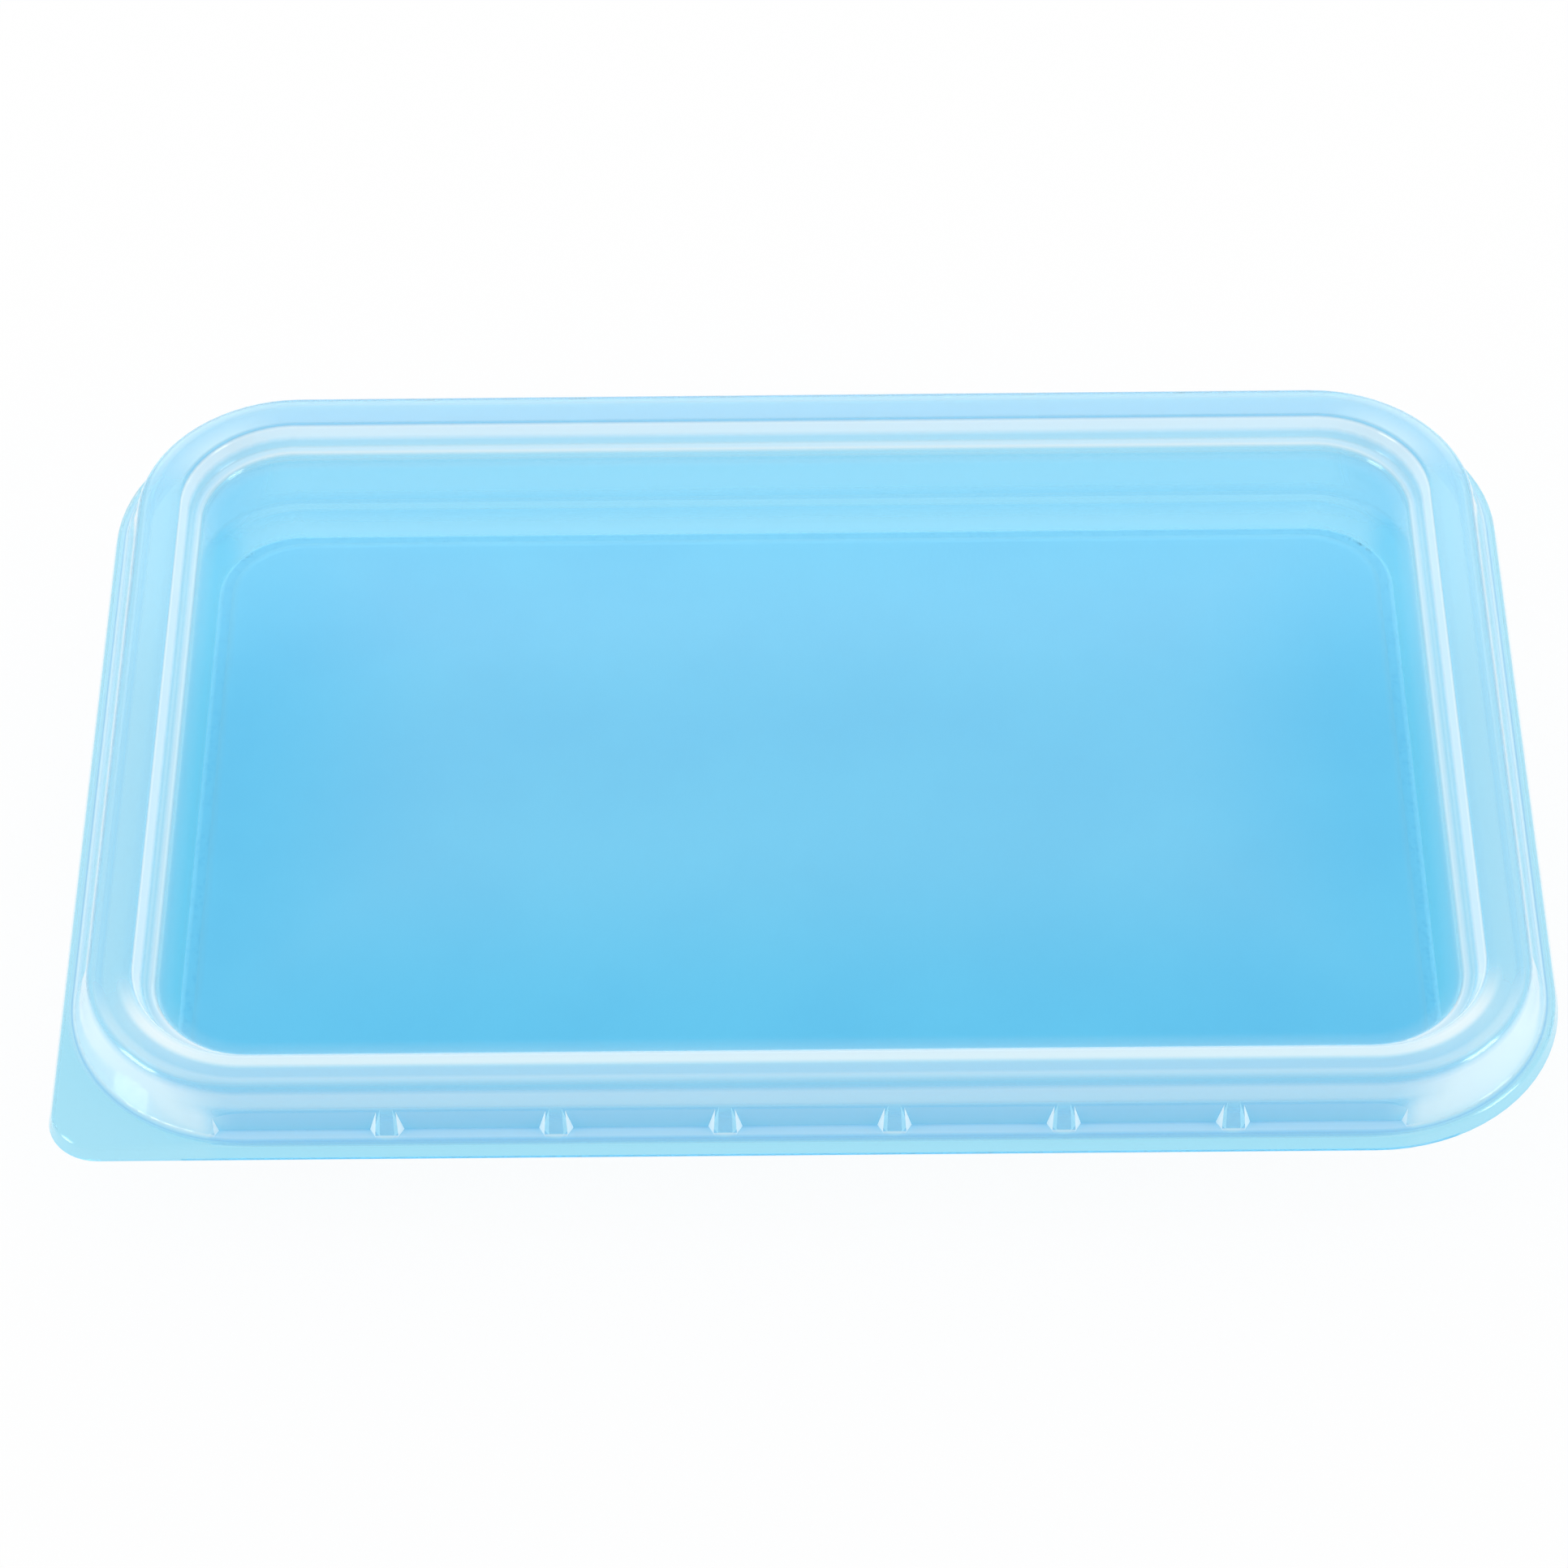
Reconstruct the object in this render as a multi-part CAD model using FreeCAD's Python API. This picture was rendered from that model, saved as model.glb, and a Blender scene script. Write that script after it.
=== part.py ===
import FreeCAD
import Part
import math
import os

# Wet palette: a shallow clear case formed from two sheets, a tray and a lift-off lid, with a sponge on
# the tray's floor and a sheet of palette paper laid on the sponge. Millimetres, origin on the table
# under the middle of the case, +X along its length, +Y to the back, +Z up. The lid's lift tab is at
# the front left corner. A section is drawn in the XZ plane, where X is the distance outwards from the
# path that it is carried round and Z is the height above the table.

# Case
CASE_LENGTH = 250.0
CASE_WIDTH = 175.0
SEAT_HEIGHT = 20.6  # top of the tray's flange, where the lid's flange sits
BEND = 0.5  # inside radius of the bends in both sheets

# Lid, from its recessed panel outwards
LID_SHEET = 0.6
PANEL_CORNER = 15.9
STEP_RUN = 0.4
STEP_RISE = 1.0
LEDGE_RUN = 1.9
WALL_RUN = 1.6
WALL_RISE = 4.0
RIDGE_WIDTH = 7.3
SHOULDER_BEND = 2.0  # outside radius of the bend from the ridge's top into the skirt
SKIRT_RUN = 3.1
SKIRT_DROP = 8.8
FLANGE_RUN = 1.7
LIP_RUN = 0.8
LIP_DROP = 2.7
TAB_CORNER = 8.0  # corner radius of the lift tab, which fills out the flange at one corner

# Pockets pressed into the lid's skirt, which leave tapered ribs between them
POCKET_TOP_DROP = 4.4  # from the ridge's top down to where a pocket starts
POCKET_END_DRAFT = 30.0  # degrees
RIB_PITCH = 27.6
RIB_TOP_WIDTH = 3.2
RIB_FOOT_WIDTH = 5.6
SIDE_RIBS = 6
CORNER_REACH = 7.0  # how far the last pockets run on into the rounded corners

# Tray
TRAY_SHEET = 0.7
LIP_GAP = 0.5
TRAY_SKIRT_RUN = 1.4
RIDGE_SIDE_GAP = 0.6
RIDGE_TOP_GAP = 0.3
PLUG_GAP = 0.65
UPPER_WALL_RUN = 2.5
SHELF_HEIGHT = 12.0
SHELF_RUN = 2.2
LOWER_WALL_RUN = 0.85
FLOOR_BEND = 1.0

# Sponge and paper
SPONGE_THICKNESS = 6.0
SPONGE_GAP = 0.6  # from the foot of the tray's wall
SPONGE_EDGE = 0.8
PAPER_THICKNESS = 0.15
PAPER_INSET = 2.5
PAPER_CORNER = 13.0

# Lid levels, and distances outwards from the panel's edge
FLANGE_TOP = SEAT_HEIGHT + LID_SHEET
RIDGE_TOP = FLANGE_TOP + SKIRT_DROP
PANEL_TOP = RIDGE_TOP - WALL_RISE - STEP_RISE
RIDGE_INNER = STEP_RUN + LEDGE_RUN + WALL_RUN
RIDGE_OUTER = RIDGE_INNER + RIDGE_WIDTH
SKIRT_FOOT = RIDGE_OUTER + SKIRT_RUN
FLANGE_EDGE = SKIRT_FOOT + FLANGE_RUN
FLANGE_JOIN = FLANGE_RUN / 2  # from the skirt's foot to where the skirt's sheet meets the lip's
HALF_LENGTH = CASE_LENGTH / 2 - FLANGE_EDGE - LIP_RUN
HALF_WIDTH = CASE_WIDTH / 2 - FLANGE_EDGE - LIP_RUN

# Tray levels, and distances outwards from the lid panel's edge
TRAY_FLANGE_EDGE = FLANGE_EDGE - LID_SHEET - LIP_GAP
TRAY_RIDGE_TOP = RIDGE_TOP - LID_SHEET - RIDGE_TOP_GAP
TRAY_RIDGE_OUTER = RIDGE_OUTER - LID_SHEET - RIDGE_SIDE_GAP
TRAY_RIDGE_INNER = RIDGE_INNER + LID_SHEET + PLUG_GAP
SHELF_OUTER = TRAY_RIDGE_INNER - UPPER_WALL_RUN
SHELF_INNER = SHELF_OUTER - SHELF_RUN
FLOOR_EDGE = SHELF_INNER - LOWER_WALL_RUN
FLOOR_TOP = TRAY_SHEET
SPONGE_REACH = FLOOR_EDGE - SPONGE_GAP
PAPER_REACH = SPONGE_REACH - PAPER_INSET

UP = FreeCAD.Vector(0, 0, 1)


def section_points(pairs):
    """Points of a section from pairs of distance and height."""
    return [FreeCAD.Vector(distance, 0, height) for distance, height in pairs]


def bent_line(points, radii):
    """Wire through points, with each inner corner rounded to its radius."""
    edges = []
    start = points[0]
    for corner, following, radius in zip(points[1:-1], points[2:], radii):
        back = (start - corner).normalize()
        onward = (following - corner).normalize()
        half_angle = back.getAngle(onward) / 2
        setback = radius / math.tan(half_angle)
        sagitta = radius / math.sin(half_angle) - radius
        near = corner + back * setback
        middle = corner + (back + onward).normalize() * sagitta
        far = corner + onward * setback
        edges.append(Part.makeLine(start, near))
        edges.append(Part.Arc(near, middle, far).toShape())
        start = far
    edges.append(Part.makeLine(start, points[-1]))
    return Part.Wire(edges)


def sheet_section(pairs, thickness, radii):
    """Section of a bent sheet whose upper side follows the pairs."""
    return bent_line(section_points(pairs), radii).makeOffset2D(-thickness, 0, True, True)


def plain_section(pairs):
    """Section with straight sides."""
    points = section_points(pairs)
    return Part.Face(Part.makePolygon(points + points[:1]))


def join(shapes):
    """One solid from shapes that meet, with level faces run together."""
    return shapes[0].multiFuse(shapes[1:]).removeSplitter()


def side_turn(side):
    """Rotation that brings +X to the right, back, left or front of the case, as side goes 0 to 3."""
    return FreeCAD.Rotation(UP, 90 * side)


def corner_centres(half_length, half_width, radii):
    """Centres of a rounded rectangle's corners: back right, back left, front left, front right."""
    signs = ((1, 1), (-1, 1), (-1, -1), (1, -1))
    return [FreeCAD.Vector(x * (half_length - radius), y * (half_width - radius), 0)
            for (x, y), radius in zip(signs, radii)]


def carried_round(section, half_length, half_width, radii):
    """Straight runs and corner turns of a section carried round a rounded rectangle."""
    centres = corner_centres(half_length, half_width, radii)
    pieces = []
    for side in range(4):
        turn = side_turn(side)
        outwards = turn.multVec(FreeCAD.Vector(1, 0, 0))
        run_start = centres[side - 1] + outwards * radii[side - 1]
        run_end = centres[side] + outwards * radii[side]
        run = section.copy()
        run.Placement = FreeCAD.Placement(run_start, turn)
        pieces.append(run.extrude(run_end - run_start))
        corner = section.copy()
        corner.Placement = FreeCAD.Placement(run_end, turn)
        pieces.append(corner.revolve(centres[side], UP, 90))
    return pieces


def rounded_plate(half_length, half_width, radii, bottom, thickness):
    """Flat plate with rounded corners, lying at a level."""
    edges = []
    arcs = []
    for side, centre in enumerate(corner_centres(half_length, half_width, radii)):
        spoke = side_turn(side).multVec(FreeCAD.Vector(radii[side], 0, 0))
        arcs.append([centre + FreeCAD.Rotation(UP, angle).multVec(spoke) for angle in (0, 45, 90)])
    for side, arc in enumerate(arcs):
        edges.append(Part.makeLine(arcs[side - 1][2], arc[0]))
        edges.append(Part.Arc(*arc).toShape())
    plate = Part.Face(Part.Wire(edges)).extrude(UP * thickness)
    plate.translate(UP * bottom)
    return plate


def even_corners(distance):
    """Corner radii of the rounded rectangle at a distance outwards from the panel's edge."""
    return [PANEL_CORNER + distance] * 4


def middle_plate(bottom, thickness):
    """Flat plate between the four corner centres of the panel."""
    half_length = HALF_LENGTH - PANEL_CORNER
    half_width = HALF_WIDTH - PANEL_CORNER
    corner = FreeCAD.Vector(-half_length, -half_width, bottom)
    return Part.makeBox(2 * half_length, 2 * half_width, thickness, corner)


def lid_shell():
    """Panel, step, ledge, ridge and skirt of the lid."""
    outer_bend = BEND + LID_SHEET
    section = sheet_section(
        [(-PANEL_CORNER, PANEL_TOP), (0, PANEL_TOP), (STEP_RUN, PANEL_TOP + STEP_RISE),
         (STEP_RUN + LEDGE_RUN, PANEL_TOP + STEP_RISE), (RIDGE_INNER, RIDGE_TOP),
         (RIDGE_OUTER, RIDGE_TOP), (SKIRT_FOOT, FLANGE_TOP), (SKIRT_FOOT + FLANGE_JOIN, FLANGE_TOP)],
        LID_SHEET, [BEND, outer_bend, BEND, outer_bend, SHOULDER_BEND, BEND])
    runs = carried_round(section, HALF_LENGTH, HALF_WIDTH, even_corners(0))
    return runs + [middle_plate(PANEL_TOP - LID_SHEET, LID_SHEET)]


def lid_rim():
    """Flange with its turned-down lip, squared off at the front left corner as a lift tab."""
    half_length = HALF_LENGTH + FLANGE_EDGE
    half_width = HALF_WIDTH + FLANGE_EDGE
    corners = even_corners(FLANGE_EDGE)
    corners[2] = TAB_CORNER
    inset = FLANGE_RUN - FLANGE_JOIN
    lip = sheet_section([(-inset, FLANGE_TOP), (0, FLANGE_TOP), (LIP_RUN, FLANGE_TOP - LIP_DROP)],
                        LID_SHEET, [BEND + LID_SHEET])
    lip_runs = carried_round(lip, half_length, half_width, corners)
    plate = rounded_plate(half_length - inset, half_width - inset, [r - inset for r in corners],
                          SEAT_HEIGHT, LID_SHEET)
    opening = SKIRT_FOOT + FLANGE_JOIN / 2
    hole = rounded_plate(HALF_LENGTH + opening, HALF_WIDTH + opening, even_corners(opening),
                         SEAT_HEIGHT, LID_SHEET)
    return lip_runs + [plate.cut(hole)]


def pocket_block(span, back, top, bottom, wall):
    """Block of a pocket between two rib centre lines, with tapered and drafted ends, grown by a wall."""
    start, end = span
    draft = (FLANGE_EDGE - back) * math.tan(math.radians(POCKET_END_DRAFT))
    wires = []
    for distance, flare in ((back, 0.0), (FLANGE_EDGE, draft)):
        corners = [(start + RIB_TOP_WIDTH / 2, top), (end - RIB_TOP_WIDTH / 2, top),
                   (end - RIB_FOOT_WIDTH / 2, bottom), (start + RIB_FOOT_WIDTH / 2, bottom)]
        shifts = (-flare - wall, flare + wall, flare + wall, -flare - wall)
        points = [FreeCAD.Vector(HALF_WIDTH + distance, along + shift, height)
                  for (along, height), shift in zip(corners, shifts)]
        wires.append(Part.makePolygon(points + points[:1]))
    return Part.makeLoft(wires, True, True)


def pocket_spans():
    """Start and end of each pocket along a long side, from rib to rib and out to the side's two ends."""
    half_run = HALF_LENGTH - PANEL_CORNER + CORNER_REACH
    first = -RIB_PITCH * (SIDE_RIBS - 1) / 2
    marks = [-half_run] + [first + RIB_PITCH * rib for rib in range(SIDE_RIBS)] + [half_run]
    return list(zip(marks, marks[1:]))


def lid_pockets():
    """Pockets of the two long sides, and the blocks of sheet that line them."""
    back = RIDGE_OUTER + SKIRT_RUN * POCKET_TOP_DROP / SKIRT_DROP
    top = RIDGE_TOP - POCKET_TOP_DROP
    pockets = []
    linings = []
    for quarter_turns in (1, 3):
        for span in pocket_spans():
            pocket = pocket_block(span, back, top, FLANGE_TOP, 0.0)
            lining = pocket_block(span, back - LID_SHEET, top, SEAT_HEIGHT, LID_SHEET)
            for block in (pocket, lining):
                block.rotate(FreeCAD.Vector(), UP, 90 * quarter_turns)
            pockets.append(pocket)
            linings.append(lining)
    return pockets, linings


def lid():
    """Lid: recessed panel, hollow ridge, pocketed skirt, flange, lip and lift tab in one sheet."""
    shell = join(lid_shell() + lid_rim())
    pockets, linings = lid_pockets()
    under_skirt = plain_section([(RIDGE_OUTER, RIDGE_TOP), (SKIRT_FOOT, FLANGE_TOP),
                                 (SKIRT_FOOT + FLANGE_JOIN, FLANGE_TOP),
                                 (SKIRT_FOOT + FLANGE_JOIN, SEAT_HEIGHT), (RIDGE_OUTER, SEAT_HEIGHT)])
    room = join(carried_round(under_skirt, HALF_LENGTH, HALF_WIDTH, even_corners(0)))
    lined = join([shell] + [lining.common(room) for lining in linings])
    return lined.cut(pockets).removeSplitter()


def base_tray():
    """Tray: floor, wall with a shelf, hollow rim ridge and flange in one sheet."""
    outer_bend = BEND + TRAY_SHEET
    section = sheet_section(
        [(-PANEL_CORNER, FLOOR_TOP), (FLOOR_EDGE, FLOOR_TOP), (SHELF_INNER, SHELF_HEIGHT),
         (SHELF_OUTER, SHELF_HEIGHT), (TRAY_RIDGE_INNER, TRAY_RIDGE_TOP),
         (TRAY_RIDGE_OUTER, TRAY_RIDGE_TOP), (TRAY_RIDGE_OUTER + TRAY_SKIRT_RUN, SEAT_HEIGHT),
         (TRAY_FLANGE_EDGE, SEAT_HEIGHT)],
        TRAY_SHEET, [FLOOR_BEND, outer_bend, BEND, outer_bend, outer_bend, BEND])
    runs = carried_round(section, HALF_LENGTH, HALF_WIDTH, even_corners(0))
    return join(runs + [middle_plate(FLOOR_TOP - TRAY_SHEET, TRAY_SHEET)])


def sponge():
    """Flat sponge on the tray's floor, with its lower edges rounded to clear the floor's bend."""
    slab = rounded_plate(HALF_LENGTH + SPONGE_REACH, HALF_WIDTH + SPONGE_REACH, even_corners(SPONGE_REACH),
                         FLOOR_TOP, SPONGE_THICKNESS)
    top_face = max(slab.Faces, key=lambda face: face.CenterOfMass.z)
    eased = slab.makeFillet(SPONGE_EDGE, top_face.Edges)
    foot = min(eased.Faces, key=lambda face: face.CenterOfMass.z)
    return eased.makeFillet(FLOOR_BEND, foot.Edges)


def palette_paper():
    """Sheet of palette paper, lying on the sponge."""
    return rounded_plate(HALF_LENGTH + PAPER_REACH, HALF_WIDTH + PAPER_REACH, [PAPER_CORNER] * 4,
                         FLOOR_TOP + SPONGE_THICKNESS, PAPER_THICKNESS)


os.makedirs("parts", exist_ok=True)
for make_piece in (base_tray, sponge, palette_paper, lid):
    piece = make_piece()
    piece.exportStep(os.path.join("parts", make_piece.__name__ + ".step"))
    print(make_piece.__name__, len(piece.Solids), "solid", round(piece.Volume, 1), "mm3", piece.isValid())
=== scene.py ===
import logging
import math
from dataclasses import dataclass
from enum import Enum
from typing import Any, ClassVar

import bpy
from mathutils import Euler, Matrix, Vector


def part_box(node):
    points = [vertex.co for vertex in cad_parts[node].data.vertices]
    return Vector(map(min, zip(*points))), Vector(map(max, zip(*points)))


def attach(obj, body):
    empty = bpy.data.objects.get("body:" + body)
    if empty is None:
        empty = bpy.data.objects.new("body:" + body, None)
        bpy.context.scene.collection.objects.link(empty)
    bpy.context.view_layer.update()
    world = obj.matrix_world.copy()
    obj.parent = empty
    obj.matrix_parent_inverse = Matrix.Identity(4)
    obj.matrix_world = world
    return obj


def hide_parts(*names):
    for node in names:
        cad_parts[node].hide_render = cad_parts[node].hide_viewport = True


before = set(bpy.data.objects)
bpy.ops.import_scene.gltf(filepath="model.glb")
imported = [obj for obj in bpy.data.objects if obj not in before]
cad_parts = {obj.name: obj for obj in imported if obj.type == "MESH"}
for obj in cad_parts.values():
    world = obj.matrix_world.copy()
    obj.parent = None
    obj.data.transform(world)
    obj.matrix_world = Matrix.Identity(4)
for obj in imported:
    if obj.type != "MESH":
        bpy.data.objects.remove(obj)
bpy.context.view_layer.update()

# Looks of a wet palette: a clear blue case of two formed sheets round a sponge and a sheet of palette
# paper. Metres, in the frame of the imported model: +X along the case, +Y to the back, +Z up.

MM = 0.001
LOG = logging.getLogger("wet_palette")
Colour = tuple[float, float, float]
# stops of painted highlight across the rim: distances and shares
HighlightStops = tuple[tuple[float, float], ...]
Span = tuple[float, float]
Paint = tuple[float, float, float, float]
WHITE: Paint = (1.0, 1.0, 1.0, 1.0)


class Body(Enum):
    """Rigid bodies that the pieces ride on."""

    TRAY = "tray_body"
    SPONGE = "sponge_body"
    PAPER = "paper_body"
    LID = "lid_body"


class Slot(Enum):
    """Material slots of the record."""

    LID = "lid_plastic"
    TRAY = "tray_plastic"
    SPONGE = "sponge_foam"
    PAPER = "palette_paper"


@dataclass(frozen=True)
class PanelPlan:
    """Plan of the lid's recessed panel, from which distances across the rim are measured."""

    half_length: float = 108.2 * MM
    half_width: float = 70.7 * MM
    corner: float = 15.9 * MM


PANEL = PanelPlan()


class Signal:
    """An output socket of a node tree, with arithmetic that adds Math nodes."""

    def __init__(self, tree: "NodeTree", socket: bpy.types.NodeSocket) -> None:
        """Wraps a socket.

        Args:
            tree: The tree that the socket belongs to.
            socket: The output socket.
        """
        self.tree = tree
        self.socket = socket

    def _math(self, operation: str, *operands: "Signal | float") -> "Signal":
        """Adds a Math node.

        Args:
            operation: The Math node's operation.
            operands: What goes into the node, in order.

        Returns:
            The node's value.
        """
        return self.tree.node("ShaderNodeMath", {"operation": operation}, dict(enumerate(operands)))["Value"]

    def __add__(self, other: "Signal | float") -> "Signal":
        """Sum."""
        return self._math("ADD", self, other)

    __radd__ = __add__

    def __sub__(self, other: "Signal | float") -> "Signal":
        """Difference."""
        return self._math("SUBTRACT", self, other)

    def __rsub__(self, other: float) -> "Signal":
        """Difference from a number."""
        return self._math("SUBTRACT", other, self)

    def __mul__(self, other: "Signal | float") -> "Signal":
        """Product."""
        return self._math("MULTIPLY", self, other)

    __rmul__ = __mul__

    def __truediv__(self, other: "Signal | float") -> "Signal":
        """Quotient."""
        return self._math("DIVIDE", self, other)

    def __rtruediv__(self, other: float) -> "Signal":
        """Quotient of a number."""
        return self._math("DIVIDE", other, self)

    def __pow__(self, other: "Signal | float") -> "Signal":
        """Power."""
        return self._math("POWER", self, other)

    def __abs__(self) -> "Signal":
        """Absolute value."""
        return self._math("ABSOLUTE", self)

    def at_least(self, other: "Signal | float") -> "Signal":
        """The larger of two values."""
        return self._math("MAXIMUM", self, other)

    def at_most(self, other: "Signal | float") -> "Signal":
        """The smaller of two values."""
        return self._math("MINIMUM", self, other)

    def sign(self) -> "Signal":
        """Minus one, zero or one."""
        return self._math("SIGN", self)

    def ramp(self, low: float, high: float) -> "Signal":
        """Smooth step from 0 at low to 1 at high.

        Args:
            low: Value that gives 0.
            high: Value that gives 1.

        Returns:
            The stepped value.
        """
        settings = {"interpolation_type": "SMOOTHSTEP"}
        limits = {"Value": self, "From Min": low, "From Max": high}
        return self.tree.node("ShaderNodeMapRange", settings, limits)["Result"]


class NodeOutputs:
    """Outputs of a node, by name or number, as signals."""

    def __init__(self, tree: "NodeTree", node: bpy.types.Node) -> None:
        """Wraps a node.

        Args:
            tree: The tree that the node is in.
            node: The node.
        """
        self.tree = tree
        self.node = node

    def __getitem__(self, name: str | int) -> Signal:
        """The output with this name or number."""
        return Signal(self.tree, self.node.outputs[name])


class NodeTree:
    """A shader or geometry tree that is built node by node."""

    def __init__(self, tree: bpy.types.NodeTree) -> None:
        """Takes over a tree and empties it.

        Args:
            tree: The Blender node tree.
        """
        self.tree = tree
        tree.nodes.clear()

    def node(self, kind: str, settings: dict[str, Any] | None = None,
             inputs: dict[str | int, Any] | None = None) -> NodeOutputs:
        """Adds a node.

        Args:
            kind: The node's type name.
            settings: Properties to set first; stops gives a colour ramp's places and colours.
            inputs: Values or signals for input sockets, by name or number.

        Returns:
            The node's outputs.
        """
        node = self.tree.nodes.new(kind)
        for name, value in (settings or {}).items():
            if name == "stops":
                for index, (place, colour) in enumerate(value):
                    elements = node.color_ramp.elements
                    element = elements[index] if index < len(elements) else elements.new(place)
                    element.position = place
                    element.color = (*colour, 1.0)
            else:
                setattr(node, name, value)
        for name, value in (inputs or {}).items():
            if isinstance(value, Signal):
                self.tree.links.new(value.socket, node.inputs[name])
            else:
                node.inputs[name].default_value = value
        return NodeOutputs(self, node)


class MaterialTree(NodeTree):
    """The node tree of a new material."""

    def __init__(self, name: str) -> None:
        """Makes the material.

        Args:
            name: The material's name.
        """
        self.material = bpy.data.materials.new(name)
        self.material.use_nodes = True
        super().__init__(self.material.node_tree)

    def place(self) -> Signal:
        """Object coordinates."""
        return self.node("ShaderNodeTexCoord")["Object"]

    def noise(self, scale: float, detail: float = 2.0, stretch: Colour = (1.0, 1.0, 1.0)) -> Signal:
        """Smooth noise over the object.

        Args:
            scale: Waves per metre.
            detail: Octaves added to the first.
            stretch: Scale of the noise along each axis.

        Returns:
            The noise, about 0 to 1.
        """
        place = self.node("ShaderNodeMapping", None, {"Vector": self.place(), "Scale": stretch})["Vector"]
        inputs = {"Vector": place, "Scale": scale, "Detail": detail}
        return self.node("ShaderNodeTexNoise", None, inputs)["Fac"]

    def bump(self, height: Signal, depth: float, strength: float = 1.0) -> Signal:
        """Normal of a surface with a relief.

        Args:
            height: The relief, 0 to 1.
            depth: Its depth in metres.
            strength: Share of the relief that shows.

        Returns:
            The normal.
        """
        inputs = {"Height": height, "Distance": depth, "Strength": strength}
        return self.node("ShaderNodeBump", None, inputs)["Normal"]

    def mix_colours(self, share: Signal, first: Colour | Signal, second: Colour | Signal) -> Signal:
        """Colour between two colours.

        Args:
            share: Share of the second colour.
            first: Colour at share 0.
            second: Colour at share 1.

        Returns:
            The mixed colour.
        """
        ends = {6: first if isinstance(first, Signal) else (*first, 1.0),
                7: second if isinstance(second, Signal) else (*second, 1.0)}
        return self.node("ShaderNodeMix", {"data_type": "RGBA"}, {0: share, **ends})[2]

    def mix_shaders(self, share: Signal | float, first: Signal, second: Signal) -> Signal:
        """Shader between two shaders.

        Args:
            share: Share of the second shader.
            first: Shader at share 0.
            second: Shader at share 1.

        Returns:
            The mixed shader.
        """
        return self.node("ShaderNodeMixShader", None, {0: share, 1: first, 2: second})["Shader"]

    def finish(self, shader: Signal) -> bpy.types.Material:
        """Shows a shader on the material's surface.

        Args:
            shader: The shader.

        Returns:
            The material.
        """
        self.node("ShaderNodeOutputMaterial", None, {"Surface": shader})
        return self.material


class RimPlace:
    """Where a point of the case is, measured from the edge of the lid's panel, and how it faces."""

    SHORT_END_BLEND: Span = (-4.0 * MM, 6.0 * MM)
    RIBBED_END: Span = (3.0 * MM, 8.0 * MM)
    CORNER_BLEND: Span = (0.1, 0.9)
    SLANT_BLEND: Span = (0.05, 0.25)
    LEVEL_BLEND: Span = (0.5, 0.8)
    END_BLEND: Span = (0.3, 0.5)

    def __init__(self, tree: MaterialTree) -> None:
        """Works out the distances.

        Args:
            tree: The tree of the material that uses them.
        """
        at = tree.node("ShaderNodeSeparateXYZ", None, {0: tree.place()})
        past_x = abs(at["X"]) - PANEL.half_length
        past_y = abs(at["Y"]) - PANEL.half_width
        self.over_x = (past_x + PANEL.corner).at_least(0.0)
        self.over_y = (past_y + PANEL.corner).at_least(0.0)
        self.outwards = (self.over_x ** 2.0 + self.over_y ** 2.0) ** 0.5 - PANEL.corner
        self.inside = -1.0 * past_x.at_least(past_y)
        self.short_end = (self.over_x - self.over_y).ramp(*self.SHORT_END_BLEND)
        self.ribbed = 1.0 - self.over_x.ramp(*self.RIBBED_END)
        self.corner = (self.over_x.at_most(self.over_y) / PANEL.corner).ramp(*self.CORNER_BLEND)
        self.front = (-1.0 * at["Y"]).ramp(PANEL.half_width - PANEL.corner, PANEL.half_width)
        facing = tree.node("ShaderNodeSeparateXYZ", None, {0: tree.node("ShaderNodeTexCoord")["Normal"]})
        self.slanting = abs(facing["Z"]).ramp(*self.SLANT_BLEND)
        self.level = abs(facing["Z"]).ramp(*self.LEVEL_BLEND)
        self.endways = abs(facing["X"]).ramp(*self.END_BLEND)


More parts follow.
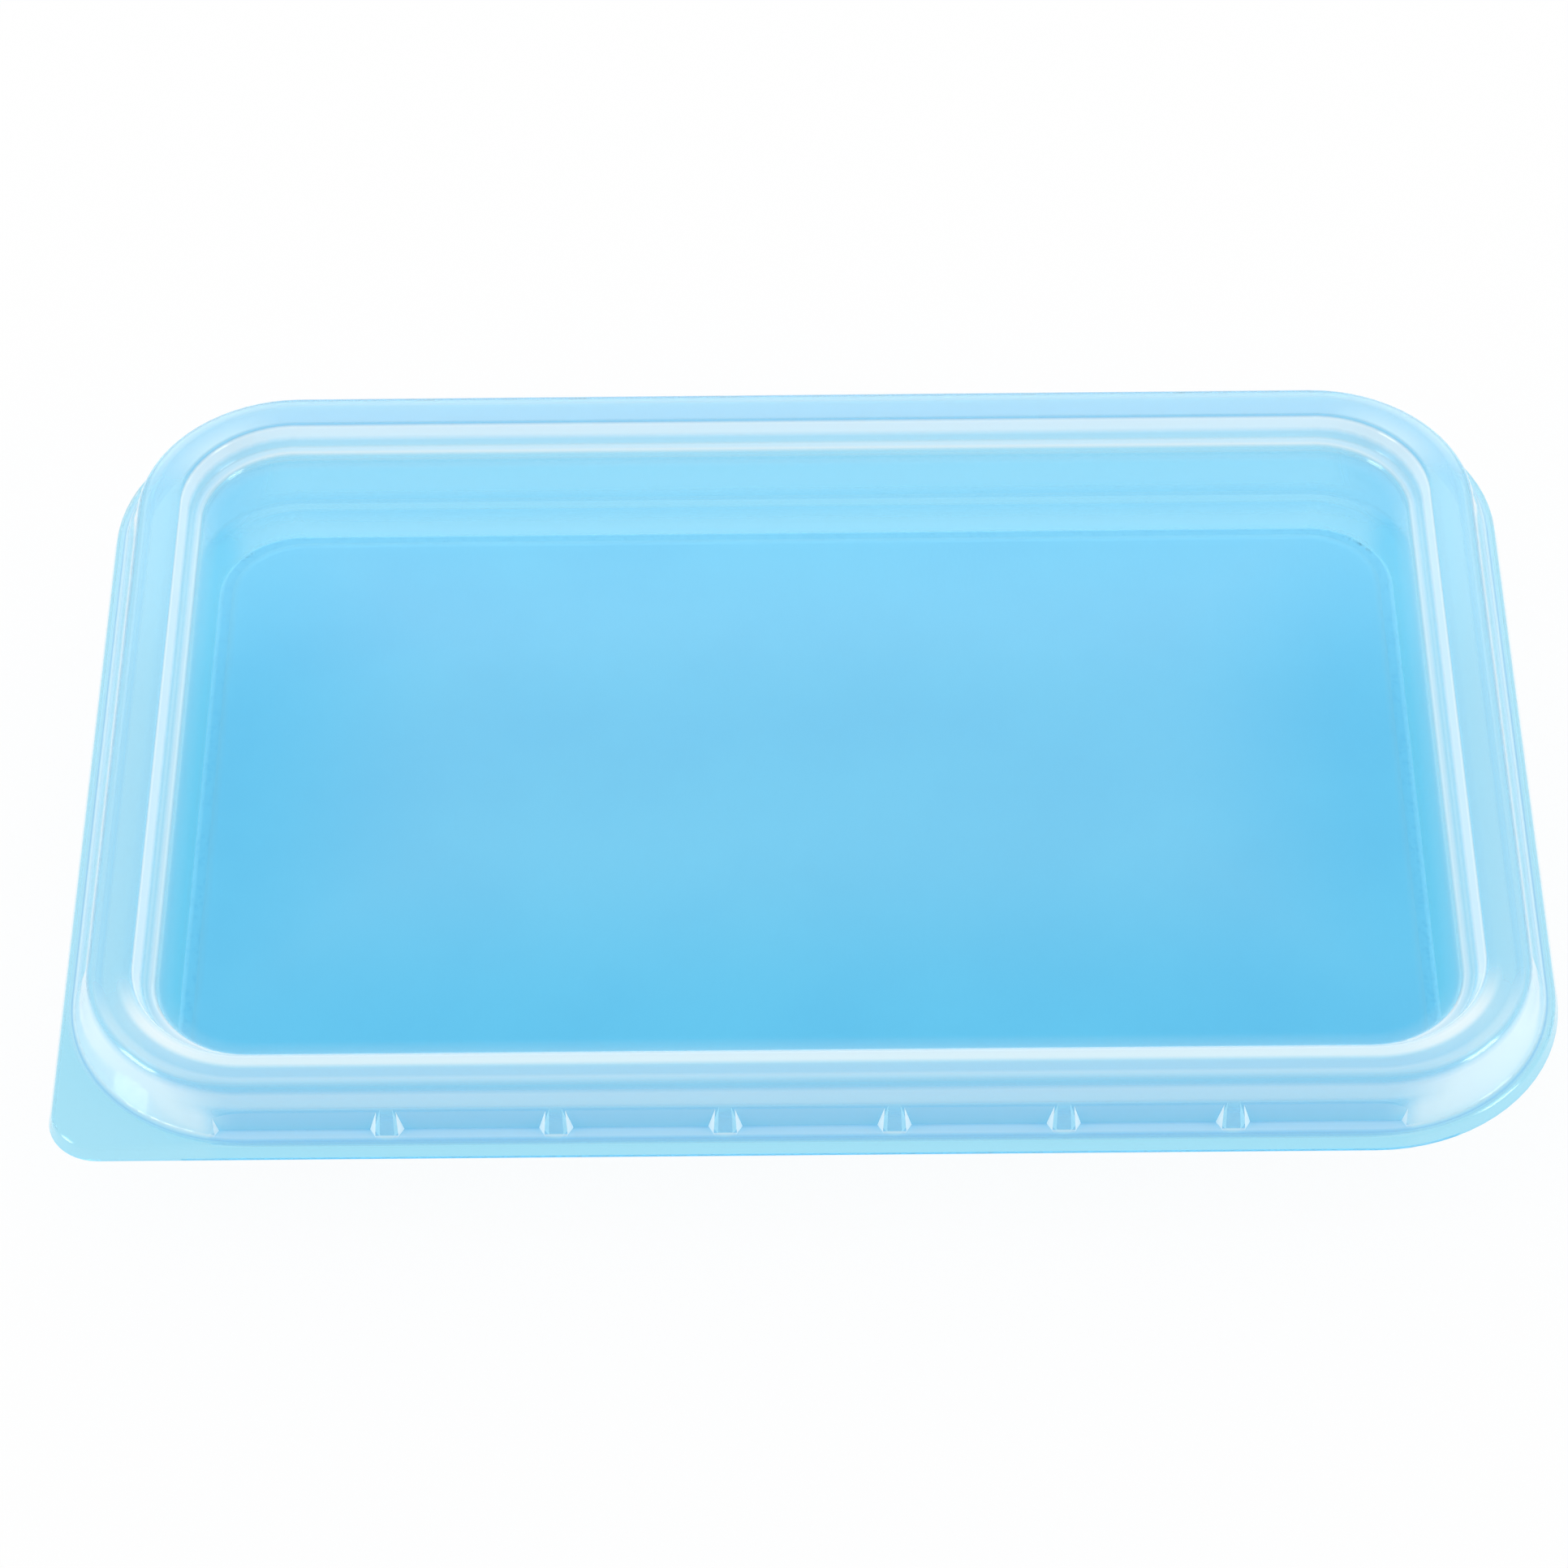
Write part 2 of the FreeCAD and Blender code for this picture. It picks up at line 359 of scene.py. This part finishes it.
@dataclass(frozen=True)
class ClearPlastic:
    """Tinted clear sheet that lets lamps through.

    White bands mixed in across the rim are painted highlights, standing in for the bright lines that clear
    plastic shows along its bends.
    The refractive index is kept far below that of plastic, whose dark lines the photograph lacks, and a
    coat gives the gloss instead.
    """

    name: str
    tint: Colour
    # colour of the painted highlights and reflections mixed into the sheet
    painted_highlight: Colour
    long_highlights: HighlightStops
    short_highlights: HighlightStops
    corner_highlights: HighlightStops
    deep_tint: Colour | None = None
    upright_share: float = 0.7
    rib_clear: float = 0.0
    # painted highlights on the end walls of the skirt's pockets
    end_highlight: float = 0.0
    # painted reflection that pales the middle of the panel
    middle_reflection: float = 0.0
    # painted highlight along the inner edge of the front crest
    front_highlight: float = 0.0
    roughness: float = 0.06
    coat_roughness: float = 0.1
    ior: float = 1.1
    gloss_from: float = -1.0
    ripple_scale: float = 45.0
    ripple_depth: float = 0.06 * MM
    scuff_scale: float = 900.0
    scuff_roughness: float = 0.05

    PANEL_MIDDLE: ClassVar[Span] = (4.0 * MM, 50.0 * MM)
    CREST_START: ClassVar[Span] = (3.5 * MM, 4.0 * MM)
    CREST_BACK: ClassVar[Span] = (5.8 * MM, 7.0 * MM)
    RIB_START: ClassVar[Span] = (12.3 * MM, 12.8 * MM)
    SHELF_END: ClassVar[Span] = (2.3 * MM, 3.0 * MM)
    GLOSS_BLEND: ClassVar[float] = 1.5 * MM
    COAT_IOR: ClassVar[float] = 1.5
    SCUFF_STRETCH: ClassVar[Colour] = (1.0, 0.25, 1.0)

    def profile(self, tree: MaterialTree, outwards: Signal, stops: HighlightStops) -> Signal:
        """Share of painted highlight across the rim.

        Args:
            tree: The material's tree.
            outwards: Distance outwards from the panel's edge.
            stops: Distances and the shares there.

        Returns:
            The share.
        """
        start = stops[0][0]
        reach = stops[-1][0] - start
        places = [((distance - start) / reach, (share, share, share)) for distance, share in stops]
        return tree.node("ShaderNodeValToRGB", {"stops": places}, {0: (outwards - start) / reach})["Color"]

    def highlight_share(self, tree: MaterialTree, rim: RimPlace) -> Signal:
        """Share of painted highlight, by the place across the rim and the way a face turns.

        Args:
            tree: The material's tree.
            rim: Where a point is on the rim.

        Returns:
            The share.
        """
        at_long = self.profile(tree, rim.outwards, self.long_highlights)
        at_short = self.profile(tree, rim.outwards, self.short_highlights)
        at_corner = self.profile(tree, rim.outwards, self.corner_highlights)
        at_side = at_long + (at_short - at_long) * rim.short_end
        turned = self.upright_share + (1.0 - self.upright_share) * rim.slanting
        pocket_end = rim.endways * rim.ribbed
        rib_face = rim.ribbed * rim.slanting * (1.0 - rim.level) * rim.outwards.ramp(*self.RIB_START)
        middle = rim.inside.ramp(*self.PANEL_MIDDLE)
        crest = rim.outwards.ramp(*self.CREST_START) * (1.0 - rim.outwards.ramp(*self.CREST_BACK))
        # painted highlights in bands across the rim, fainter on upright faces and cleared from rib faces
        formed = (at_side + (at_corner - at_side) * rim.corner) * turned * (1.0 - self.rib_clear * rib_face)
        # painted highlights on the pocket ends and the front crest, and a painted reflection paling the
        # panel's middle
        local = self.end_highlight * pocket_end + self.middle_reflection * middle + self.front_highlight * rim.front * crest
        return formed + local

    def body_tint(self, tree: MaterialTree, rim: RimPlace) -> Signal | Paint:
        """Tint of the sheet, made deeper below the shelf of the two ends to match the photograph.

        Args:
            tree: The material's tree.
            rim: Where a point is on the rim.

        Returns:
            The tint.
        """
        if self.deep_tint is None:
            return (*self.tint, 1.0)
        deep = rim.short_end * (1.0 - rim.outwards.ramp(*self.SHELF_END))
        return tree.mix_colours(deep, self.tint, self.deep_tint)

    def material(self) -> bpy.types.Material:
        """Makes the material.

        Returns:
            The material.
        """
        tree = MaterialTree(self.name)
        rim = RimPlace(tree)
        normal = tree.bump(tree.noise(self.ripple_scale), self.ripple_depth)
        scuffs = tree.noise(self.scuff_scale, 4.0, self.SCUFF_STRETCH)
        gloss = rim.slanting * rim.outwards.ramp(self.gloss_from, self.gloss_from + self.GLOSS_BLEND)
        surface = {"IOR": self.ior, "Roughness": self.roughness + self.scuff_roughness * scuffs,
                   "Normal": normal, "Coat Weight": gloss, "Coat IOR": self.COAT_IOR,
                   "Coat Roughness": self.coat_roughness}
        sheet = tree.node("ShaderNodeBsdfPrincipled", None, {
            "Base Color": self.body_tint(tree, rim), "Transmission Weight": 1.0, **surface})["BSDF"]
        # white shader of the painted highlights, mixed into the sheet by their share
        painted_highlight = tree.node("ShaderNodeBsdfPrincipled", None, {
            "Base Color": (*self.painted_highlight, 1.0), **surface})["BSDF"]
        highlighted = tree.mix_shaders(self.highlight_share(tree, rim), sheet, painted_highlight)
        lamp_tint = tuple(math.sqrt(part) for part in self.tint)
        clear = tree.node("ShaderNodeBsdfTransparent", None, {"Color": (*lamp_tint, 1.0)})["BSDF"]
        ray = tree.node("ShaderNodeLightPath")
        lamp = ray["Is Shadow Ray"].at_least(ray["Is Diffuse Ray"])
        return tree.finish(tree.mix_shaders(lamp, highlighted, clear))


@dataclass(frozen=True)
class SpongeFoam:
    """Damp pale foam with fine pores, darkened in them by painted shade."""

    name: str = "sponge_foam"
    skin: Colour = (0.81, 0.97, 0.99)
    # colour of the painted shade deep in the pores
    pore_shade: Colour = (0.70, 0.91, 0.96)
    pore_scale: float = 900.0
    pore_bump: float = 0.05 * MM
    pore_edge: Span = (0.15, 0.55)
    blotch_scale: float = 60.0
    blotch_share: float = 0.25
    dry_roughness: float = 0.95

    def material(self) -> bpy.types.Material:
        """Makes the material.

        Returns:
            The material.
        """
        tree = MaterialTree(self.name)
        cells = tree.node("ShaderNodeTexVoronoi", None, {"Vector": tree.place(), "Scale": self.pore_scale})
        pores = cells["Distance"].ramp(*self.pore_edge)
        blotches = tree.noise(self.blotch_scale, 3.0)
        filled = pores * (1.0 - self.blotch_share + self.blotch_share * blotches)
        # painted shade darkens the pores, spread wider in the damp blotches
        colour = tree.mix_colours(filled, self.pore_shade, self.skin)
        foam = tree.node("ShaderNodeBsdfPrincipled", None, {
            "Base Color": colour,
            "Roughness": self.dry_roughness - self.blotch_share * blotches,
            "Normal": tree.bump(pores, self.pore_bump),
        })["BSDF"]
        return tree.finish(foam)


@dataclass(frozen=True)
class WetPaper:
    """Pale palette paper, darker where it is wetter."""

    name: str = "palette_paper"
    damp: Colour = (0.78, 0.96, 0.98)
    wetter: Colour = (0.72, 0.92, 0.96)
    soak_scale: float = 35.0
    soak_edge: Span = (0.35, 0.7)
    dry_roughness: float = 0.62
    soak_gloss: float = 0.2
    fibre_scale: float = 1400.0
    fibre_stretch: Colour = (1.0, 0.3, 1.0)
    fibre_bump: float = 0.03 * MM

    def material(self) -> bpy.types.Material:
        """Makes the material.

        Returns:
            The material.
        """
        tree = MaterialTree(self.name)
        soak = tree.noise(self.soak_scale, 4.0)
        fibres = tree.noise(self.fibre_scale, 3.0, self.fibre_stretch)
        colour = tree.mix_colours(soak.ramp(*self.soak_edge), self.damp, self.wetter)
        paper = tree.node("ShaderNodeBsdfPrincipled", None, {
            "Base Color": colour,
            "Roughness": self.dry_roughness - self.soak_gloss * soak,
            "Normal": tree.bump(fibres, self.fibre_bump),
        })["BSDF"]
        return tree.finish(paper)


class SlabTree(NodeTree):
    """Geometry tree of a flat slab with round plan corners, worked on and then placed."""

    INPUTS = {"Size": "NodeSocketVector", "Centre": "NodeSocketVector", "Spacing": "NodeSocketFloat",
              "Layers": "NodeSocketFloat", "Corner": "NodeSocketFloat", "Edge": "NodeSocketFloat",
              "Relief Size": "NodeSocketFloat", "Relief Depth": "NodeSocketFloat",
              "Finish": "NodeSocketMaterial"}
    LEVEL_BLEND: Span = (0.4, 0.6)

    def __init__(self, name: str) -> None:
        """Makes the tree with its named inputs.

        Args:
            name: The tree's name.
        """
        self.group = bpy.data.node_groups.new(name, "GeometryNodeTree")
        super().__init__(self.group)
        for label, kind in self.INPUTS.items():
            self.group.interface.new_socket(label, in_out="INPUT", socket_type=kind)
        self.group.interface.new_socket("Geometry", in_out="OUTPUT", socket_type="NodeSocketGeometry")
        self.given = self.node("NodeGroupInput")

    def moved(self, mesh: Signal, offset: Signal) -> Signal:
        """The mesh with its points moved by an offset."""
        return self.node("GeometryNodeSetPosition", None, {"Geometry": mesh, "Offset": offset})["Geometry"]

    def slab(self) -> Signal:
        """Builds the slab round the origin, with its plan corners rounded and its edges eased.

        Returns:
            The slab's mesh.
        """
        given = self.given
        sides = self.node("ShaderNodeSeparateXYZ", None, {0: given["Size"]})
        counts = {f"Vertices {axis}": sides[axis] / given["Spacing"] + 2.0 for axis in "XY"}
        cube = {"Size": given["Size"], "Vertices Z": given["Layers"], **counts}
        block = self.node("GeometryNodeMeshCube", None, cube)["Mesh"]
        at = self.node("ShaderNodeSeparateXYZ", None, {0: self.node("GeometryNodeInputPosition")[0]})
        over_x = (abs(at["X"]) - (sides["X"] / 2.0 - given["Corner"])).at_least(0.0)
        over_y = (abs(at["Y"]) - (sides["Y"] / 2.0 - given["Corner"])).at_least(0.0)
        over_z = (abs(at["Z"]) - (sides["Z"] / 2.0 - given["Edge"])).at_least(0.0)
        square = over_x.at_least(over_y)
        diagonal = ((over_x ** 2.0 + over_y ** 2.0) ** 0.5).at_least(1e-9)
        side = ((square - given["Corner"]) / given["Edge"] + 1.0).at_least(0.0)
        eased = square - side * (given["Edge"] - (given["Edge"] ** 2.0 - over_z ** 2.0).at_least(0.0) ** 0.5)
        pull = eased / diagonal - 1.0
        along_x = at["X"].sign() * over_x * pull
        along_y = at["Y"].sign() * over_y * pull
        offset = self.node("ShaderNodeCombineXYZ", None, {"X": along_x, "Y": along_y})["Vector"]
        return self.moved(block, offset)

    def inland(self, start: float, end: float) -> Signal:
        """Smooth step from 0 near the slab's sides to 1 in its middle.

        Args:
            start: Distance from the sides that gives 0.
            end: Distance from the sides that gives 1.

        Returns:
            The stepped value.
        """
        at = self.node("ShaderNodeSeparateXYZ", None, {0: self.node("GeometryNodeInputPosition")[0]})
        sides = self.node("ShaderNodeSeparateXYZ", None, {0: self.given["Size"]})
        from_x = sides["X"] / 2.0 - abs(at["X"])
        from_y = sides["Y"] / 2.0 - abs(at["Y"])
        return from_x.at_most(from_y).ramp(start, end)

    def close(self, mesh: Signal) -> bpy.types.NodeTree:
        """Puts the slab in its place and ends the tree.

        Args:
            mesh: The slab's mesh.

        Returns:
            The tree.
        """
        facing = self.node("ShaderNodeSeparateXYZ", None, {0: self.node("GeometryNodeInputNormal")[0]})
        level = abs(facing["Z"]).ramp(*self.LEVEL_BLEND)
        smooth = self.node("GeometryNodeSetShadeSmooth", None, {0: mesh, "Selection": level})[0]
        set_down = {"Geometry": smooth, "Translation": self.given["Centre"]}
        placed = self.node("GeometryNodeTransform", None, set_down)["Geometry"]
        whole = self.node("GeometryNodeRealizeInstances", None, {"Geometry": placed})["Geometry"]
        finish = {"Geometry": whole, "Material": self.given["Finish"]}
        dressed = self.node("GeometryNodeSetMaterial", None, finish)["Geometry"]
        self.node("NodeGroupOutput", None, {"Geometry": dressed})
        return self.group


def bake_nodes(name: str, group: bpy.types.NodeTree, values: dict[str, Any]) -> bpy.types.Object:
    """Runs a geometry tree once and keeps its result as a plain mesh.

    Args:
        name: The new piece's name.
        group: The geometry tree.
        values: Values by the names of the tree's inputs.

    Returns:
        The piece.
    """
    piece = bpy.data.objects.new(name, bpy.data.meshes.new(name))
    bpy.context.scene.collection.objects.link(piece)
    modifier = piece.modifiers.new(name, "NODES")
    modifier.node_group = group
    for item in group.interface.items_tree:
        if item.in_out == "INPUT":
            modifier[item.identifier] = values[item.name]
    graph = bpy.context.evaluated_depsgraph_get()
    mesh = bpy.data.meshes.new_from_object(piece.evaluated_get(graph))
    piece.modifiers.remove(modifier)
    piece.data = mesh
    mesh.name = name
    return piece


@dataclass
class SpongePad:
    """Foam pad on the tray's floor, in the place of its solid."""

    spacing: float = 0.9 * MM
    layers: int = 9
    edge: float = 1.0 * MM
    pore_size: float = 2.6 * MM
    pore_depth: float = 0.2 * MM
    pore_rim: Span = (0.1, 0.5)
    plain_edge: Span = (2.0 * MM, 6.0 * MM)
    finish: SpongeFoam = SpongeFoam()

    def tree(self) -> bpy.types.NodeTree:
        """Builds the geometry tree of the pad, with its pores.

        Returns:
            The tree.
        """
        tree = SlabTree("sponge_pad")
        place = tree.node("GeometryNodeInputPosition")[0]
        cells = tree.node("ShaderNodeTexVoronoi", {"feature": "SMOOTH_F1"}, {
            "Vector": place, "Scale": 1.0 / tree.given["Relief Size"], "Smoothness": 0.2})["Distance"]
        normal = tree.node("GeometryNodeInputNormal")[0]
        dent = (cells.ramp(*self.pore_rim) - 1.0) * tree.inland(*self.plain_edge) * tree.given["Relief Depth"]
        scaled = {0: normal, "Scale": dent}
        inward = tree.node("ShaderNodeVectorMath", {"operation": "SCALE"}, scaled)["Vector"]
        return tree.close(tree.moved(tree.slab(), inward))

    def build(self) -> bpy.types.Object:
        """Builds the pad and ties it to its body.

        Returns:
            The pad.
        """
        low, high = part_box("sponge")
        pad = bake_nodes("sponge_pad", self.tree(), {
            "Size": tuple(high - low), "Centre": tuple((low + high) / 2), "Spacing": self.spacing,
            "Layers": self.layers, "Corner": PANEL.corner + high.x - PANEL.half_length, "Edge": self.edge,
            "Relief Size": self.pore_size, "Relief Depth": self.pore_depth,
            "Finish": self.finish.material()})
        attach(pad, Body.SPONGE.value)
        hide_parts("sponge")
        return pad


@dataclass
class PaletteSheet:
    """Wet palette paper on the sponge, with the shallow waves of wet paper."""

    spacing: float = 1.5 * MM
    corner: float = 13.0 * MM
    wave_size: float = 45.0 * MM
    wave_height: float = 0.5 * MM
    wave_slope: Span = (0.45, 0.8)
    flat_edge: Span = (0.0, 25.0 * MM)
    finish: WetPaper = WetPaper()

    def tree(self) -> bpy.types.NodeTree:
        """Builds the geometry tree of the sheet, with its waves.

        Returns:
            The tree.
        """
        tree = SlabTree("palette_sheet")
        at = tree.node("ShaderNodeSeparateXYZ", None, {0: tree.node("GeometryNodeInputPosition")[0]})
        flat = tree.node("ShaderNodeCombineXYZ", None, {"X": at["X"], "Y": at["Y"]})["Vector"]
        waves = tree.node("ShaderNodeTexNoise", None, {
            "Vector": flat, "Scale": 1.0 / tree.given["Relief Size"], "Detail": 1.0})["Fac"]
        lift = waves.ramp(*self.wave_slope) * tree.inland(*self.flat_edge) * tree.given["Relief Depth"]
        upward = tree.node("ShaderNodeCombineXYZ", None, {"Z": lift})["Vector"]
        return tree.close(tree.moved(tree.slab(), upward))

    def build(self) -> bpy.types.Object:
        """Builds the sheet and ties it to its body.

        Returns:
            The sheet.
        """
        low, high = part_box("palette_paper")
        size = high - low
        sheet = bake_nodes("palette_sheet", self.tree(), {
            "Size": tuple(size), "Centre": tuple((low + high) / 2), "Spacing": self.spacing,
            "Layers": 2, "Corner": self.corner, "Edge": size.z / 8, "Relief Size": self.wave_size,
            "Relief Depth": self.wave_height, "Finish": self.finish.material()})
        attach(sheet, Body.PAPER.value)
        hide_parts("palette_paper")
        cut_area = size.x * size.y - (4.0 - math.pi) * self.corner ** 2
        return sheet


@dataclass
class FormedShell:
    """A formed sheet of the case, shown by its own solid."""

    node: str
    finish: ClearPlastic

    def dress(self) -> bpy.types.Object:
        """Gives the solid its finish.

        Returns:
            The solid's object.
        """
        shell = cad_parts[self.node]
        shell.data.materials.clear()
        shell.data.materials.append(self.finish.material())
        return shell


@dataclass
class Studio:
    """Floor, lamps and a camera at the photograph's viewing angle."""

    photo_size: float = 1932.0
    focal_pixels: float = 6656.0
    pitch: float = math.radians(47.2)
    distance: float = 0.9267
    roll: float = math.radians(-0.854)
    turn: float = math.radians(0.459)
    aim: Vector = Vector((-4.07 * MM, -11.87 * MM, 26.0 * MM))
    sensor: float = 36.0
    floor_size: float = 6.0
    room_light: float = 0.7
    floor_white: float = 0.93
    light_bounces: int = 24
    clear_bounces: int = 32

    def build(self) -> None:
        """Builds everything round the object."""
        self.camera()
        self.floor()
        self.lamps()
        self.world()
        scene = bpy.context.scene
        scene.view_settings.view_transform = "Standard"
        scene.cycles.max_bounces = self.light_bounces
        scene.cycles.transmission_bounces = self.light_bounces
        scene.cycles.transparent_max_bounces = self.clear_bounces

    def camera(self) -> None:
        """Places the camera at the photograph's viewing angle."""
        data = bpy.data.cameras.new("camera")
        data.sensor_width = self.sensor
        data.lens = self.focal_pixels / self.photo_size * self.sensor
        data.clip_end = 20.0
        camera = bpy.data.objects.new("camera", data)
        back = Vector((0.0, -math.cos(self.pitch), math.sin(self.pitch)))
        tilt = Euler((math.pi / 2 - self.pitch, 0.0, 0.0)).to_matrix() @ Matrix.Rotation(self.roll, 3, "Z")
        placed = Matrix.Translation(self.aim + back * self.distance) @ tilt.to_4x4()
        camera.matrix_world = Matrix.Rotation(self.turn, 4, "Z") @ placed
        bpy.context.scene.collection.objects.link(camera)
        bpy.context.scene.camera = camera

    def floor(self) -> None:
        """Lays a plain white floor that keeps the object's shadow."""
        half = self.floor_size / 2
        mesh = bpy.data.meshes.new("floor")
        corners = [(-half, -half, 0.0), (half, -half, 0.0), (half, half, 0.0), (-half, half, 0.0)]
        mesh.from_pydata(corners, [], [(0, 1, 2, 3)])
        floor = bpy.data.objects.new("floor", mesh)
        bpy.context.scene.collection.objects.link(floor)
        tree = MaterialTree("floor_white")
        paint = tree.node("ShaderNodeBsdfDiffuse", None, {"Color": (0.9, 0.9, 0.9, 1.0)})["BSDF"]
        white = tree.node("ShaderNodeEmission", None, {"Color": WHITE, "Strength": 1.0})["Emission"]
        ray = tree.node("ShaderNodeLightPath")
        seen = ray["Is Camera Ray"].at_least(ray["Is Glossy Ray"]).at_least(ray["Is Transmission Ray"])
        mesh.materials.append(tree.finish(tree.mix_shaders(seen * self.floor_white, paint, white)))

    def lamp(self, name: str, place: Vector, size: tuple[float, float], power: float,
             mirrored: bool = True) -> None:
        """Hangs one softbox, facing the object.

        Args:
            name: The lamp's name.
            place: Where it hangs.
            size: Its width and height.
            power: Its power in watts.
            mirrored: Whether glossy faces show the lamp.
        """
        data = bpy.data.lights.new(name, "AREA")
        data.shape = "RECTANGLE"
        data.size, data.size_y = size
        data.energy = power
        lamp = bpy.data.objects.new(name, data)
        lamp.location = place
        lamp.rotation_mode = "QUATERNION"
        lamp.rotation_quaternion = (-place).to_track_quat("-Z", "Y")
        lamp.visible_glossy = mirrored
        bpy.context.scene.collection.objects.link(lamp)

    def lamps(self) -> None:
        """Hangs the softboxes."""
        self.lamp("softbox_back", Vector((0.0, 1.05, 0.73)), (1.4, 0.5), 1.8)
        self.lamp("strip_back", Vector((0.0, 1.2, 0.4)), (1.6, 0.16), 6.0, mirrored=False)
        self.lamp("softbox_left", Vector((-1.0, -0.35, 0.4)), (0.4, 0.4), 3.5)
        self.lamp("softbox_right", Vector((1.0, -0.35, 0.4)), (0.4, 0.4), 3.5)

    def world(self) -> None:
        """Lights the object evenly from a white room."""
        world = bpy.data.worlds.new("white_room")
        world.use_nodes = True
        tree = NodeTree(world.node_tree)
        room = tree.node("ShaderNodeBackground", None, {"Color": WHITE, "Strength": self.room_light})
        shown = tree.node("ShaderNodeBackground", None, {"Color": WHITE, "Strength": 1.0})
        ray = tree.node("ShaderNodeLightPath")
        seen = ray["Is Camera Ray"].at_least(ray["Is Transmission Ray"])
        mixed = tree.node("ShaderNodeMixShader", None, {0: seen, 1: room[0], 2: shown[0]})["Shader"]
        tree.node("ShaderNodeOutputWorld", None, {"Surface": mixed})
        bpy.context.scene.world = world


# Painted highlights and reflections across the rim, tuned to the photograph: distances outwards from
# the panel's edge, and the share of painted white there
PANEL_EDGE_HIGHLIGHTS = ((-3.0 * MM, 0.0), (-0.9 * MM, 0.1), (0.3 * MM, 0.25), (0.8 * MM, 0.85), (1.9 * MM, 0.85))
LONG_WALL_HIGHLIGHTS = ((2.3 * MM, 0.4), (2.7 * MM, 0.4), (3.1 * MM, 0.95), (3.7 * MM, 0.95), (4.1 * MM, 0.15),
                  (4.5 * MM, 0.28))
LONG_CREST_HIGHLIGHTS = ((8.6 * MM, 0.28), (9.2 * MM, 0.4))
SHORT_WALL_HIGHLIGHTS = ((-3.0 * MM, 0.0), (-0.9 * MM, 0.08), (0.3 * MM, 0.2), (0.8 * MM, 0.6), (1.3 * MM, 0.6),
                   (1.8 * MM, 0.3), (2.6 * MM, 0.3), (3.0 * MM, 0.95), (3.75 * MM, 0.95), (4.1 * MM, 0.12),
                   (4.5 * MM, 0.16))
SKIRT_HIGHLIGHTS = ((10.4 * MM, 0.22), (10.9 * MM, 0.15), (11.3 * MM, 0.2), (11.7 * MM, 0.4), (12.6 * MM, 0.3),
              (13.2 * MM, 0.55), (14.4 * MM, 0.55), (14.9 * MM, 0.3), (16.0 * MM, 0.1))
CORNER_CREST_HIGHLIGHTS = ((5.0 * MM, 0.45), (8.6 * MM, 0.28), (9.2 * MM, 0.4), (10.2 * MM, 0.45))
CORNER_SKIRT_HIGHLIGHTS = ((10.9 * MM, 0.2), (11.3 * MM, 0.25), (11.9 * MM, 0.65), (13.9 * MM, 0.6),
                     (14.4 * MM, 0.5), (14.9 * MM, 0.35), (15.8 * MM, 0.08))
# lid: painted highlights along its bends, pocket ends and front crest, painted reflections in its corners
LID_PLASTIC = ClearPlastic(
    "lid_plastic", tint=(0.345, 0.755, 0.93), painted_highlight=(0.89, 0.98, 1.0), end_highlight=0.8, middle_reflection=0.06,
    front_highlight=0.42, rib_clear=0.7,
    long_highlights=PANEL_EDGE_HIGHLIGHTS + LONG_WALL_HIGHLIGHTS + LONG_CREST_HIGHLIGHTS + SKIRT_HIGHLIGHTS,
    short_highlights=SHORT_WALL_HIGHLIGHTS + SKIRT_HIGHLIGHTS,
    corner_highlights=PANEL_EDGE_HIGHLIGHTS + LONG_WALL_HIGHLIGHTS + CORNER_CREST_HIGHLIGHTS + CORNER_SKIRT_HIGHLIGHTS)
# painted highlights along the tray's foot, shelf and ridge bends, and painted reflections in its corners
TRAY_FOOT_HIGHLIGHTS = ((-1.5 * MM, 0.0), (-0.4 * MM, 0.1))
TRAY_WALL_HIGHLIGHTS = ((0.1 * MM, 0.1), (0.4 * MM, 0.5), (0.7 * MM, 0.12), (2.3 * MM, 0.12), (2.65 * MM, 0.5),
                  (3.0 * MM, 0.15), (5.0 * MM, 0.2))
TRAY_RIDGE_HIGHLIGHTS = ((8.6 * MM, 0.1), (9.2 * MM, 0.5), (10.0 * MM, 0.5), (10.5 * MM, 0.1), (12.0 * MM, 0.1))
TRAY_CORNER_HIGHLIGHTS = ((-1.5 * MM, 0.0), (-0.4 * MM, 0.2), (3.0 * MM, 0.35), (5.0 * MM, 0.5), (12.0 * MM, 0.1))
TRAY_PLASTIC = ClearPlastic(
    "tray_plastic", tint=(0.80, 0.93, 0.985), painted_highlight=(0.88, 0.97, 1.0), deep_tint=(0.34, 0.80, 0.95),
    upright_share=1.0, ior=1.001, gloss_from=4.0 * MM,
    long_highlights=TRAY_FOOT_HIGHLIGHTS + TRAY_WALL_HIGHLIGHTS + TRAY_RIDGE_HIGHLIGHTS,
    short_highlights=TRAY_FOOT_HIGHLIGHTS + TRAY_RIDGE_HIGHLIGHTS, corner_highlights=TRAY_CORNER_HIGHLIGHTS)


def main() -> None:
    """Builds and dresses every piece."""
    logging.basicConfig(level=logging.INFO, format="%(message)s")
    for shell in (FormedShell("base_tray", TRAY_PLASTIC), FormedShell("lid", LID_PLASTIC)):
        LOG.info("dressed %s", shell.dress().name)
    for piece in (SpongePad(), PaletteSheet()):
        LOG.info("built %s", piece.build().name)
    Studio().build()


if __name__ == "__main__":
    main()
